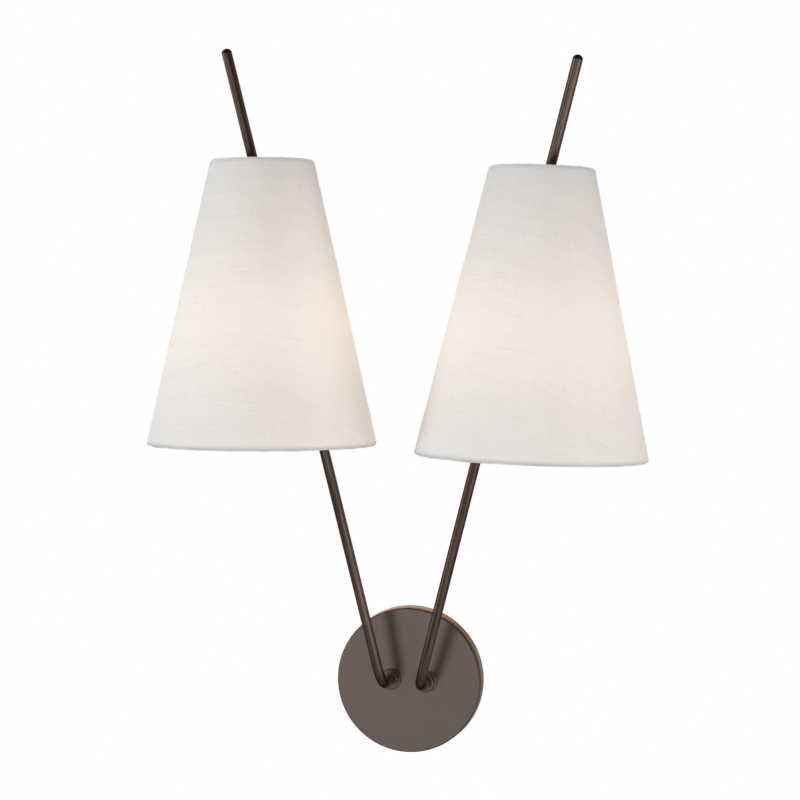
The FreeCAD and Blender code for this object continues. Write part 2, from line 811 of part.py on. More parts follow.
def cone_shell(name, bottom, top, inset, thickness):
    """A tapered shell between two heights."""
    outer = inset
    inner = "%s + %s" % (inset, thickness)
    return turned(name, [
        (wall_radius(bottom, inner), bottom),
        (wall_radius(bottom, outer), bottom),
        (wall_radius(top, outer), top),
        (wall_radius(top, inner), top),
    ])


LINER_INSET = "shade_fabric + slip_fit"
WIRE_INSET = LINER_INSET + " + shade_liner + (shade_wire_radius + slip_fit) / cos(atan(%s))" % SHADE_SLOPE
BOTTOM_WIRE = "shade_wire_inset"
TOP_WIRE = "shade_height - shade_wire_inset"


def ring_radius(height):
    return wall_radius(height, WIRE_INSET)


def wire_ring(name, height):
    ring = doc.addObject("Part::Torus", name)
    bind(ring, Radius1=ring_radius(height), Radius2="shade_wire_radius")
    ring.Placement = shift(0.0, 0.0, height)
    return ring


def hem(name, edge, direction, reach):
    """Folded tape over the shade's edge and its wire: outside, across the edge and inside."""
    inside = WIRE_INSET + " + shade_wire_radius + slip_fit"
    tip = "%s + %d * (%s)" % (edge, direction, reach)
    lip = "%s - %d * slip_fit" % (edge, direction)
    fold = "%s - %d * (slip_fit + hem_thickness)" % (edge, direction)
    outer = "-(slip_fit + hem_thickness)"
    return turned(name, [
        (wall_radius(tip, "-slip_fit"), tip),
        (wall_radius(tip, outer), tip),
        (wall_radius(fold, outer), fold),
        (wall_radius(fold, inside + " + hem_thickness"), fold),
        (wall_radius(tip, inside + " + hem_thickness"), tip),
        (wall_radius(tip, inside), tip),
        (wall_radius(lip, inside), lip),
        (wall_radius(lip, "-slip_fit"), lip),
    ])


def make_shade_cover(name, side):
    base = shade_frame(side)
    fold = "(slip_fit + hem_thickness)"
    cover = cone_shell(name + "_shade_cover", fold, "shade_height - " + fold, "0", "shade_fabric")
    finish(cover, name + "_shade_cover", base)
    liner = cone_shell(name + "_shade_liner", fold, "shade_height - " + fold, LINER_INSET, "shade_liner")
    finish(liner, name + "_shade_liner", base)
    bottom = hem(name + "_shade_bottom_hem", fold, 1, "hem_bottom_height")
    finish(bottom, name + "_shade_bottom_hem", base)
    top = hem(name + "_shade_top_tape", "shade_height - " + fold, -1, "hem_top_height")
    gaps = spider_wires(name + "_top_hem_gap", side, "shade_wire_radius + loose_fit")
    finish(without(name + "_shade_top_hem", top, [gaps]), name + "_shade_top_hem", base)


def make_shade_rings(name, side):
    base = shade_frame(side)
    for place, height in (("bottom", BOTTOM_WIRE), ("top", TOP_WIRE)):
        ring = wire_ring("%s_shade_%s_wire" % (name, place), height)
        finish(ring, "%s_shade_%s_ring" % (name, place), base * ring.Placement)


def spider_wires(name, side, radius):
    """Bars from the hub's middle up to the top ring, in the shade's frame."""
    hub_level = value("shade_height - shade_hub_drop")
    rise = value(TOP_WIRE) - hub_level
    reach = value(ring_radius(TOP_WIRE))
    wires = []
    count = int(value("spider_arms"))
    for number in range(count):
        turn = 2 * math.pi * number / count
        outward = FreeCAD.Vector(reach * math.cos(turn), reach * math.sin(turn), rise)
        wire = doc.addObject("Part::Cylinder", "%s_wire" % name)
        bind(wire, Radius=radius)
        wire.Height = outward.Length
        wire.Placement = frame_at(FreeCAD.Vector(0, 0, hub_level), outward, Z)
        wires.append(wire)
    return grouped(name + "_wires", wires)


def make_spider(name, side):
    """Three wires from the hub up to the top ring, trimmed where they meet both."""
    base = shade_frame(side)
    ring_cut = doc.addObject("Part::Torus", name + "_spider_ring_cut")
    bind(ring_cut, Radius1=ring_radius(TOP_WIRE), Radius2="shade_wire_radius + slip_fit")
    ring_cut.Placement = shift(0.0, 0.0, TOP_WIRE)
    hub_cut = cylinder(name + "_spider_hub_cut", "hub_radius + slip_fit", "2 * hub_length")
    hub_cut.Placement = base.inverse() * arm_frame(side, "hub_height - hub_length")
    wires = spider_wires(name + "_spider", side, "shade_wire_radius")
    spider = without(name + "_spider", wires, [ring_cut, hub_cut])
    finish(spider, name + "_shade_spider", base)


def make_hub(name, side):
    blank = cylinder(name + "_hub_blank", "hub_radius", "hub_length")
    bore = cylinder(name + "_hub_bore", "arm_radius + slip_fit", "hub_length")
    screw_hole = cylinder(name + "_hub_screw_hole", "lock_screw_radius + press_fit", "hub_radius",
                          frame_at(vector(0.0, 0.0, "hub_length / 2"), -X, Z))
    hub = without(name + "_hub", blank, [bore, screw_hole])
    finish(hub, name + "_shade_hub", arm_frame(side, "hub_height - hub_length / 2"))
    screw_start = "arm_radius + loose_fit"
    screw = turned(name + "_shade_lock_screw", [
        ("0", "0"),
        ("lock_screw_radius", "0"),
        ("lock_screw_radius", "lock_screw_reach"),
        ("lock_head_radius", "lock_screw_reach"),
        ("lock_head_radius", "lock_screw_reach + lock_head_length"),
        ("0", "lock_screw_reach + lock_head_length"),
    ])
    inward = frame_at(vector("-(%s)" % screw_start, 0.0, 0.0), -X, Z)
    finish(screw, name + "_shade_lock_screw", arm_frame(side, "hub_height") * inward)


def make_stop(name, side):
    stop = turned(name + "_shade_stop", [
        ("arm_radius + press_fit", "0"),
        ("stop_radius", "0"),
        ("stop_radius", "stop_length"),
        ("arm_radius + press_fit", "stop_length"),
    ])
    foot = "hub_height - hub_length / 2 - loose_fit - stop_length"
    finish(stop, name + "_shade_stop", arm_frame(side, foot))


# ---- wiring ---------------------------------------------------------------------------

def make_cable(name, side):
    """The jacketed pair from the canopy, through the arm, to the socket."""
    x = "%d * arm_spacing / 2" % side
    beside = shift("socket_offset")
    points = [
        vector(x, "-cable_wall_distance", "-cable_canopy_drop"),
        vector(x, "-cable_wall_distance", 0.0),
        arm_corner(side),
        arm_frame(side, "cable_exit_height").Base,
        (arm_frame(side, "cable_exit_height + cable_exit_rise") * beside).Base,
        (arm_frame(side, CARRIER_FOOT + " + carrier_floor") * beside).Base,
    ]
    bend = value("cable_bend_radius")
    radii = [value("cable_canopy_bend"), value("arm_bend_radius"), bend, bend]
    path = rounded_path(points, radii)
    print("%s cable: length %.1f mm, bend radii %s mm" % (name, path.Length, radii))
    cable = shaped(name + "_cable_jacket", swept(path, value("cable_radius")))
    finish(cable, name + "_lead_cable", FreeCAD.Placement())


def make_tails():
    """Bare ends of the cables, led to the two wire nuts at two depths so they cross freely."""
    tail = value("tail_radius")
    step = tail + value("press_fit")
    in_nut = tail + value("loose_fit")
    deep = value("cable_wall_distance")
    nut_deep = value("wire_nut_wall_distance")
    mouth = value("wire_nut_mouth_drop")
    start = value("cable_canopy_drop + press_fit")
    turn = start + 3 * tail
    for wire, nut_side in (("hot", -1), ("neutral", 1)):
        crossing = value(wire + "_crossing_distance")
        solids = []
        for name, side in SIDES:
            from_x = side * value("arm_spacing") / 2 + nut_side * step
            to_x = nut_side * value("wire_nut_spacing") / 2 + side * in_nut
            points = [
                FreeCAD.Vector(from_x, -deep, -start),
                FreeCAD.Vector(from_x, -deep, -turn),
            ]
            if side != nut_side:
                points.append(FreeCAD.Vector(0.0, -crossing, -(turn + mouth) / 2))
            points.append(FreeCAD.Vector(to_x, -nut_deep, -mouth + 2 * tail))
            points.append(FreeCAD.Vector(to_x, -nut_deep, -mouth - value("wire_nut_bore_depth") / 2))
            path = rounded_path(points, [2 * tail for _ in points[1:-1]])
            solids.append(shaped("%s_%s_tail" % (name, wire), swept(path, tail)))
        finish(grouped(wire + "_tail_pair", solids), wire + "_lead_tails", FreeCAD.Placement())


def ground_line():
    """How far left the ground wire runs, just clear of its screw's shank."""
    return "-(ground_screw_x - ground_screw_radius - ground_wire_radius - slip_fit)"


def make_ground_wire():
    radius = value("ground_wire_radius")
    x = value(ground_line())
    low = value("bracket_thickness + ground_wire_radius + slip_fit / 2")
    deep = value("wire_nut_wall_distance")
    drop = value("ground_screw_drop")
    points = [
        FreeCAD.Vector(x, -low, -drop - value("ground_wire_tail")),
        FreeCAD.Vector(x, -low, -drop + value("ground_wire_run")),
        FreeCAD.Vector(x, -deep, -value("ground_bend_drop")),
        FreeCAD.Vector(x, -deep, value("ground_nut_rise + wire_nut_bore_depth / 2")),
    ]
    path = rounded_path(points, [3 * radius, 3 * radius])
    finish(shaped("ground_wire_bar", swept(path, radius)), "ground_wire", FreeCAD.Placement())


def make_wire_nuts():
    places = [
        frame_at(vector("%d * wire_nut_spacing / 2" % side, "-wire_nut_wall_distance",
                        "-wire_nut_mouth_drop"), -Z, X)
        for _, side in SIDES
    ]
    # The ground wire lies against the side of its nut's bore.
    ground_nut = "(%s) + wire_nut_bore_radius - ground_wire_radius - loose_fit" % ground_line()
    places.append(frame_at(vector(ground_nut, "-wire_nut_wall_distance", "ground_nut_rise"), Z, X))
    nuts = []
    for number, place in enumerate(places):
        nut = turned("wire_nut_%d" % number, [
            ("wire_nut_bore_radius", "0"),
            ("wire_nut_radius", "0"),
            ("wire_nut_radius", "wire_nut_length / 3"),
            ("wire_nut_tip_radius", "wire_nut_length"),
            ("0", "wire_nut_length"),
            ("0", "wire_nut_bore_depth"),
            ("wire_nut_bore_radius", "wire_nut_bore_depth"),
        ])
        nut.Placement = place
        nuts.append(nut)
    finish(grouped("wire_nut_set", nuts), "wire_nuts", FreeCAD.Placement())


# ---- the whole sconce -----------------------------------------------------------------

def build():
    make_canopy()
    make_wall_bracket()
    make_set_screw()
    make_ground_screw()
    make_lock_washers()
    make_lock_nuts()
    for name, side in SIDES:
        make_collar(name, side)
        make_nipple(name, side)
        make_arm_tube(name, side)
        make_arm_cap(name, side)
        make_carrier(name, side)
        make_clamp_screw(name, side)
        make_socket(name, side)
        make_bulb_cap(name, side)
        make_bulb_glass(name, side)
        make_filament(name, side)
        make_shade_cover(name, side)
        make_shade_rings(name, side)
        make_spider(name, side)
        make_hub(name, side)
        make_stop(name, side)
        make_cable(name, side)
    make_tails()
    make_ground_wire()
    make_wire_nuts()
    doc.recompute()


def check():
    for feature in doc.Objects:
        if any(state in ("Invalid", "Error") for state in feature.State):
            raise RuntimeError("%s did not recompute: %s" % (feature.Label, feature.State))
    for feature in subparts:
        if feature.Shape.isNull() or not feature.Shape.isValid():
            raise RuntimeError("%s has no valid shape" % feature.Label)
        if feature.Shape.Volume <= 0:
            raise RuntimeError("%s has no volume" % feature.Label)


def export():
    os.makedirs("parts", exist_ok=True)
    for feature in subparts:
        feature.Shape.exportStep("parts/%s.step" % feature.Label)
    print("wrote %d sub-parts" % len(subparts))


build()
check()
export()
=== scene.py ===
import math
import random

import bpy
from mathutils import Matrix, Vector


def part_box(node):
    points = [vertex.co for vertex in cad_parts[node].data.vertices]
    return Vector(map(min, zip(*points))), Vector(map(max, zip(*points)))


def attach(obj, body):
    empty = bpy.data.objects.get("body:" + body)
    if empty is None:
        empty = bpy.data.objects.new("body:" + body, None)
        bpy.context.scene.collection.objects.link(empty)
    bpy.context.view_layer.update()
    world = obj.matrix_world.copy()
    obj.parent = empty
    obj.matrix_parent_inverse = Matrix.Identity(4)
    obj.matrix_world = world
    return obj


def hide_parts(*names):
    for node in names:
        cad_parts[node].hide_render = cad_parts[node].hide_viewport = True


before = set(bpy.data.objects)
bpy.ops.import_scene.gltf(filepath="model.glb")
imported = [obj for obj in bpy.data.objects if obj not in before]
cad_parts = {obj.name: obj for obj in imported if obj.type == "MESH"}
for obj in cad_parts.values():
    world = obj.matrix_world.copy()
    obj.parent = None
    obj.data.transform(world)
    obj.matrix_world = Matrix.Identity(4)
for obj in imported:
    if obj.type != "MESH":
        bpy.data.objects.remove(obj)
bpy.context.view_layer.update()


# ---- wall bracket ---------------------------------------------------------------------
# A stamped ring of zinc-plated sheet, screwed over the outlet box. Its two bent ears take
# the canopy. Green paint marks the ground screw, driven into the ring.

class Value:
    """One output of a shader node; Python's operators on it add Math nodes."""

    def __init__(self, paint, socket):
        self.paint = paint
        self.socket = socket

    def _math(self, operation, first, second):
        return self.paint.node("Math", {"operation": operation}, {0: first, 1: second})

    def __add__(self, other):
        return self._math("ADD", self, other)

    __radd__ = __add__

    def __sub__(self, other):
        return self._math("SUBTRACT", self, other)

    def __rsub__(self, other):
        return self._math("SUBTRACT", other, self)

    def __mul__(self, other):
        return self._math("MULTIPLY", self, other)

    __rmul__ = __mul__

    def __truediv__(self, other):
        return self._math("DIVIDE", self, other)

    def __rtruediv__(self, other):
        return self._math("DIVIDE", other, self)

    def __pow__(self, other):
        return self._math("POWER", self, other)

    def __rpow__(self, other):
        return self._math("POWER", other, self)


class Paint:
    """The shader nodes of a material or world, most of them added by expressions."""

    def __init__(self, name, owner=None):
        self.owner = owner or bpy.data.materials.new(name)
        self.owner.use_nodes = True
        self.tree = self.owner.node_tree
        self.tree.nodes.clear()

    def node(self, kind, settings=None, inputs=None, output=0):
        """A node from its kind, its settings and its sockets' values or links."""
        made = self.tree.nodes.new("ShaderNode" + kind)
        for key, setting in (settings or {}).items():
            setattr(made, key, setting)
        for key, given in (inputs or {}).items():
            socket = made.inputs[key]
            if isinstance(given, Value):
                self.tree.links.new(given.socket, socket)
            elif socket.type == "RGBA" and len(given) == 3:
                socket.default_value = (*given, 1.0)
            else:
                socket.default_value = given
        return Value(self, made.outputs[output])

    def place(self):
        """Where a point lies in its piece's own frame, in metres."""
        return self.node("TexCoord", output="Object")

    def parts_of(self, point):
        """The point's X, Y and Z."""
        split = self.node("SeparateXYZ", None, {0: point})
        return [Value(self, socket) for socket in split.socket.node.outputs]

    def stretched(self, point, scales):
        """The point with each axis scaled, for grain that runs one way."""
        return self.node("VectorMath", {"operation": "MULTIPLY"}, {0: point, 1: scales})

    def noise(self, point, scale, detail=3.0):
        return self.node("TexNoise", None, {
            "Vector": point, "Scale": scale, "Detail": detail, "Roughness": 0.55,
        })

    def between(self, amount, low, high):
        """0 below low, 1 above high, smooth in between."""
        settings = {"interpolation_type": "SMOOTHSTEP"}
        return self.node("MapRange", settings, {0: amount, 1: low, 2: high})

    def mixed(self, share, first, second):
        """Two colours mixed by a share from 0 to 1."""
        sockets = {0: share, 6: first, 7: second}
        return self.node("Mix", {"data_type": "RGBA"}, sockets, output=2)

    def bumped(self, height, strength, distance):
        return self.node("Bump", None, {
            "Height": height, "Strength": strength, "Distance": distance,
        })

    def surface(self, inputs):
        """The main shader from its sockets' values."""
        return self.node("BsdfPrincipled", None, inputs)

    def done(self, shader, kind="OutputMaterial"):
        """Joins the last shader to the output and gives the material or world."""
        output = self.tree.nodes.new("ShaderNode" + kind)
        self.tree.links.new(shader.socket, output.inputs["Surface"])
        return self.owner


def dress(material, *nodes):
    """Gives CAD pieces their finish."""
    for name in nodes:
        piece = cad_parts[name]
        piece.data.materials.clear()
        piece.data.materials.append(material)


def zinc_plate():
    """Bright zinc over steel: a faint crystalline bloom and rolled grain."""
    paint = Paint("zinc_plate")
    point = paint.place()
    bloom = paint.noise(point, 120.0)
    grain = paint.noise(paint.stretched(point, (40.0, 40.0, 900.0)), 1.0)
    colour = paint.mixed(bloom, (0.42, 0.43, 0.42), (0.66, 0.66, 0.63))
    return paint.done(paint.surface({
        "Base Color": colour,
        "Metallic": 1.0,
        "Roughness": 0.28 + 0.22 * bloom,
        "Normal": paint.bumped(grain, 0.25, 0.0001),
    }))


def green_paint():
    paint = Paint("ground_green_paint")
    point = paint.place()
    wear = paint.between(paint.noise(point, 700.0), 0.62, 0.74)
    return paint.done(paint.surface({
        "Base Color": paint.mixed(wear, (0.03, 0.22, 0.07), (0.35, 0.36, 0.33)),
        "Metallic": wear,
        "Roughness": 0.42 - 0.1 * wear,
    }))


zinc = zinc_plate()
dress(zinc, "wall_bracket", "arm_lock_washers", "arm_lock_nuts")
dress(green_paint(), "ground_screw")


# ---- canopy ---------------------------------------------------------------------------
# A shallow cup spun from sheet metal and darkened to a satin brown. Its face is brushed
# level, and the wall behind the rounded edge is rubbed back towards a golden metal.

CANOPY_RADIUS = 0.0603
CANOPY_FACE = -0.0155
# The rounded edge between face and wall, by its distance from the middle.
FACE_ENDS = (CANOPY_RADIUS - 0.0016, CANOPY_RADIUS - 0.0009)
# Where the rubbed gold of the wall comes in behind the face, and where it goes. Before and
# after it the wall is painted dark, as shade.
GOLD_STARTS = (0.0028, 0.0078)
GOLD_ENDS = (0.0115, 0.0150)


def canopy_bronze():
    paint = Paint("canopy_bronze")
    point = paint.place()
    x, y, z = paint.parts_of(point)
    radius = (x * x + z * z) ** 0.5
    brushed = paint.noise(paint.stretched(point, (18.0, 900.0, 900.0)), 1.0, detail=4.0)
    cloud = paint.noise(point, 24.0)
    face = paint.mixed(brushed, (0.073, 0.057, 0.051), (0.108, 0.086, 0.077))
    face = paint.mixed(0.45 * cloud, face, (0.089, 0.066, 0.059))
    golden = paint.mixed(cloud, (0.205, 0.120, 0.070), (0.285, 0.175, 0.104))
    # Away from the face the wall goes from painted shade at the rounded edge to rubbed gold,
    # and to painted shade again at the wall.
    depth = y - CANOPY_FACE
    rubbed = paint.between(depth, *GOLD_STARTS) * (1.0 - paint.between(depth, *GOLD_ENDS))
    wall = paint.mixed(rubbed, (0.058, 0.038, 0.029), golden)
    on_wall = paint.between(radius, *FACE_ENDS)
    return paint.done(paint.surface({
        "Base Color": paint.mixed(on_wall, face, wall),
        "Metallic": 0.85,
        "Roughness": 0.42 + 0.08 * brushed,
        "Specular Tint": (0.45, 0.38, 0.34, 1.0),
        "Normal": paint.bumped(brushed, 0.18, 0.00006),
    }))


dress(canopy_bronze(), "canopy", "canopy_set_screw")


# ---- arms -----------------------------------------------------------------------------
# Each arm is a thin steel tube bent once near the canopy, where a stepped collar and a
# hollow threaded stud clamp it. The dark finish was rubbed along the tube by hand.

SIDES = (("left", -1), ("right", 1))
ARM_CORNER = Vector((0.015, -0.0508, 0.0))
ARM_SPLAY = math.radians(13.67)
ARM_LEAN = math.radians(10.0)
# How far out from the wall the short run, painted lighter and less metallic as fill light
# in its shade, goes over into the rubbed long one.
LIFTED_RUN = (ARM_CORNER.y + 0.004, ARM_CORNER.y + 0.014)


def arm_direction(side):
    """The arm's long straight run, up, outward and away from the wall."""
    return Vector((side * math.tan(ARM_SPLAY), -math.tan(ARM_LEAN), 1.0)).normalized()


def arm_corner(side):
    return Vector((side * ARM_CORNER.x, ARM_CORNER.y, ARM_CORNER.z))


def standing_frame(origin, axis, hint):
    """A frame with its Z along the axis and its X near the hint."""
    z = axis.normalized()
    x = (hint - hint.dot(z) * z).normalized()
    y = z.cross(x)
    rotation = Matrix((x, y, z)).transposed().to_4x4()
    return Matrix.Translation(origin) @ rotation


FLANGE_RADIUS = 0.0086
RING_RADIUS = 0.0064
# How far from each edge the collar is rubbed bright: part wear, part painted highlight.
FLANGE_BRIGHT = 0.0009
RING_BRIGHT = 0.0008


def abs_value(paint, number):
    return paint.node("Math", {"operation": "ABSOLUTE"}, {0: number})


def arm_bronze(name, side, depth):
    """Dark oil-rubbed bronze with long streaks of lighter brown; depth scales its tone."""
    paint = Paint(name)
    direction = arm_direction(side)
    turned = standing_frame(arm_corner(side), direction, Vector((side, 0, 0)))
    point = paint.node("Mapping", {"vector_type": "TEXTURE"}, {
        "Vector": paint.place(),
        "Location": turned.to_translation(),
        "Rotation": turned.to_euler(),
    })
    streak = paint.noise(paint.stretched(point, (420.0, 420.0, 14.0)), 1.0, detail=5.0)
    rubbed = paint.between(streak, 0.42, 0.72)
    fleck = paint.noise(point, 900.0)
    dark = (0.046 * depth, 0.032 * depth, 0.026 * depth)
    colour = paint.mixed(rubbed, dark, (0.100 * depth, 0.072 * depth, 0.060 * depth))
    colour = paint.mixed(0.30 * fleck, colour, (0.050, 0.034, 0.028))
    # The short run into the collar is painted a lighter, less metallic brown: painted fill light
    # where it sits in shade.
    _, y, _ = paint.parts_of(paint.place())
    dull = paint.between(y, *LIFTED_RUN)
    colour = paint.mixed(0.8 * dull, colour, (0.090, 0.070, 0.062))
    return paint.done(paint.surface({
        "Base Color": colour,
        "Metallic": 0.9 - 0.6 * dull,
        "Roughness": 0.30 + 0.10 * fleck,
        "Specular Tint": (0.28, 0.20, 0.16, 1.0),
        "Normal": paint.bumped(streak, 0.10, 0.0001),
    }))


def collar_bronze():
    """The same finish on the turned collars, bright on their edges: part wear, part painted
    highlight.
    """
    paint = Paint("collar_bronze")
    point = paint.place()
    turned = paint.noise(paint.stretched(point, (60.0, 1800.0, 60.0)), 1.0)
    x, _, z = paint.parts_of(point)
    across = abs_value(paint, x) - ARM_CORNER.x
    radius = (across * across + z * z) ** 0.5
    from_flange = abs_value(paint, radius - FLANGE_RADIUS)
    flange_edge = 1.0 - paint.between(from_flange, 0.0, FLANGE_BRIGHT)
    from_ring = abs_value(paint, radius - RING_RADIUS)
    ring_edge = 1.0 - paint.between(from_ring, 0.0, RING_BRIGHT)
    edge = (flange_edge + ring_edge) * (0.55 + 0.6 * paint.noise(point, 260.0))
    colour = paint.mixed(turned, (0.046, 0.036, 0.032), (0.064, 0.050, 0.044))
    colour = paint.mixed(paint.between(edge, 0.1, 0.9), colour, (0.190, 0.122, 0.082))
    return paint.done(paint.surface({
        "Base Color": colour,
        "Metallic": 0.8,
        "Roughness": 0.40 + 0.08 * turned,
        "Specular Tint": (0.45, 0.36, 0.30, 1.0),
        "Normal": paint.bumped(turned, 0.08, 0.00006),
    }))


def brass_metal():
    """Raw turned brass, a little dull."""
    paint = Paint("brass_metal")
    point = paint.place()
    dull = paint.noise(point, 90.0)
    return paint.done(paint.surface({
        "Base Color": paint.mixed(dull, (0.52, 0.36, 0.14), (0.70, 0.52, 0.24)),
        "Metallic": 1.0,
        "Roughness": 0.26 + 0.2 * dull,
    }))


brass = brass_metal()
collar_finish = collar_bronze()
for name, side in SIDES:
    dress(arm_bronze(name + "_arm_bronze", side, 1.0), name + "_arm_tube")
    # The caps' bronze is painted darker, as shade for the dark room that their domes reflect.
    dress(arm_bronze(name + "_cap_bronze", side, 0.45), name + "_arm_cap")
    dress(collar_finish, name + "_arm_collar")
    dress(brass, name + "_arm_nipple")


# ---- wiring ---------------------------------------------------------------------------
# A thin jacketed pair runs through each arm. In the canopy its tails meet the house wires
# in twist-on connectors, and a bare copper wire joins the ground screw.

def soft_plastic(name, low, high, rough):
    """Extruded or moulded plastic with a slight orange peel."""
    paint = Paint(name)
    point = paint.place()
    cloud = paint.noise(point, 160.0)
    peel = paint.noise(point, 2400.0)
    return paint.done(paint.surface({
        "Base Color": paint.mixed(cloud, low, high),
        "Roughness": rough + 0.12 * cloud,
        "Normal": paint.bumped(peel, 0.12, 0.00008),
    }))


def drawn_copper():
    paint = Paint("drawn_copper")
    tarnish = paint.noise(paint.place(), 140.0)
    return paint.done(paint.surface({
        "Base Color": paint.mixed(tarnish, (0.55, 0.22, 0.11), (0.83, 0.42, 0.26)),
        "Metallic": 1.0,
        "Roughness": 0.25 + 0.2 * tarnish,
    }))


black_jacket = soft_plastic("black_jacket", (0.016, 0.016, 0.017), (0.032, 0.031, 0.031), 0.42)
white_jacket = soft_plastic("white_jacket", (0.66, 0.65, 0.62), (0.76, 0.75, 0.72), 0.40)
connector_plastic = soft_plastic("connector_plastic", (0.58, 0.20, 0.03), (0.70, 0.27, 0.05), 0.35)
cable_jacket = soft_plastic("cable_jacket", (0.62, 0.56, 0.44), (0.72, 0.66, 0.54), 0.45)
dress(black_jacket, "hot_lead_tails")
dress(white_jacket, "neutral_lead_tails")
dress(connector_plastic, "wire_nuts")
dress(drawn_copper(), "ground_wire")
for name, _ in SIDES:
    dress(cable_jacket, name + "_lead_cable")


# ---- lamp holders ---------------------------------------------------------------------
# A zinc-plated carrier is clamped to the arm inside the shade. Its cup holds a candle
# socket of black moulded plastic with a brass screw shell.

black_moulding = soft_plastic("black_moulding", (0.014, 0.014, 0.015), (0.028, 0.028, 0.028), 0.36)
for name, _ in SIDES:
    dress(zinc, name + "_socket_carrier", name + "_carrier_screw")
    dress(black_moulding, name + "_socket_body")
    dress(brass, name + "_socket_shell", name + "_socket_contact")


# ---- bulbs ----------------------------------------------------------------------------
# A torpedo bulb of frosted glass, lit by the hot wire inside it. Its nickel-plated cap
# screws into the candle socket.

def frosted_glass():
    paint = Paint("frosted_glass")
    frost = paint.noise(paint.place(), 500.0)
    return paint.done(paint.surface({
        "Base Color": paint.mixed(frost, (0.60, 0.57, 0.52), (0.68, 0.65, 0.60)),
        "Roughness": 0.45 + 0.15 * frost,
        "Emission Color": (1.0, 0.74, 0.46),
        "Emission Strength": 0.40,
        "Normal": paint.bumped(frost, 0.2, 0.00005),
    }))


def nickel_plate():
    paint = Paint("nickel_plate")
    scuff = paint.noise(paint.place(), 300.0)
    return paint.done(paint.surface({
        "Base Color": paint.mixed(scuff, (0.60, 0.58, 0.53), (0.78, 0.76, 0.71)),
        "Metallic": 1.0,
        "Roughness": 0.16 + 0.2 * scuff,
    }))


def hot_tungsten():
    paint = Paint("hot_tungsten")
    return paint.done(paint.surface({
        "Base Color": (0.35, 0.30, 0.26),
        "Metallic": 1.0,
        "Roughness": 0.4,
        "Emission Color": (1.0, 0.72, 0.42),
        "Emission Strength": 3.0,
    }))


glass = frosted_glass()
nickel = nickel_plate()
tungsten = hot_tungsten()
for name, _ in SIDES:
    dress(glass, name + "_bulb_glass")
    dress(nickel, name + "_bulb_cap")
    dress(tungsten, name + "_bulb_filament")


# ---- shade frames ---------------------------------------------------------------------
# Two rings of painted wire hold each shade's edges, and three wires run from the upper one
# down to a hub that slides on the arm and is locked by a thumb screw above a stop.

white_paint = soft_plastic("white_wire_paint", (0.70, 0.69, 0.66), (0.78, 0.77, 0.74), 0.38)
for name, _ in SIDES:
    dress(white_paint, name + "_shade_top_ring", name + "_shade_bottom_ring")
    dress(white_paint, name + "_shade_spider")
    dress(collar_finish, name + "_shade_hub", name + "_shade_stop", name + "_shade_lock_screw")


# ---- linen shades ---------------------------------------------------------------------
# One sheet of off-white linen is glued to milky film, rolled into a cone and lapped on the
# side that faces the wall. Folded strips of the same cloth bind both edges.

BOTTOM_RADIUS = 0.0905
TOP_RADIUS = 0.0404
SHADE_HEIGHT = 0.2232
SLOPE = (BOTTOM_RADIUS - TOP_RADIUS) / SHADE_HEIGHT
CONE_ANGLE = math.atan(SLOPE)
# The hub lies this far up the arm and this far below the shade's top edge. The left shade
# leans outwards, and both lean a little towards the wall.
HUB_UP_ARM = 0.4074
HUB_DROP = 0.0294
LEFT_TILT = math.radians(1.9)
BACK_TILT = math.radians(0.5)
CLOTH = 0.0006
# The lap's width, and the angle that it takes up at the cone's mean radius.
LAP = 0.008
LAP_ANGLE = LAP / 0.065
# How far round from the side that faces the wall each shade's lap lies. Below zero is to
# the right, seen from the front.
LAP_TURN = {"left": math.radians(-12.0), "right": math.radians(-53.0)}
# How far the rolled edges reach, and how far the strips go under the sheet.
LOWER_ROLL = 0.0028
UPPER_ROLL = 0.0030
LOWER_TUCK = 0.0058
UPPER_TUCK = 0.0050
# Bands at the edges: the rolls greyed as painted shade, the crest's painted highlight and
# the dimmer glow at the top.
LOWER_SHADE_BAND = 0.0054
UPPER_SHADE_BAND = 0.0052
CREST_HIGHLIGHT_BAND = 0.0032
DIM_BAND = 0.036
# How far from the bulb its painted glow counts in full, and that glow's colour through the cloth.
GLOW_GAP = 0.066
GLOW_COLOUR = (0.400, 0.302, 0.218)
# How much of the painted glow's bounced share lies evenly round the shade, and how much of
# it grows towards the right.
GLOW_SPREAD = {"left": (0.0, 1.0), "right": (0.22, 0.42)}


def shade_frame(side):
    """A frame at the middle of the shade's lower edge, its X towards the wall."""
    tilt = LEFT_TILT if side < 0 else 0.0
    axis = Vector((side * math.sin(tilt), math.sin(BACK_TILT), 1.0)).normalized()
    hub = arm_corner(side) + arm_direction(side) * HUB_UP_ARM
    return standing_frame(hub - axis * (SHADE_HEIGHT - HUB_DROP), axis, Vector((0, 1, 0)))


def edge_radius(height):
    """The linen's outside radius at a height above the lower edge."""
    return BOTTOM_RADIUS - height * SLOPE


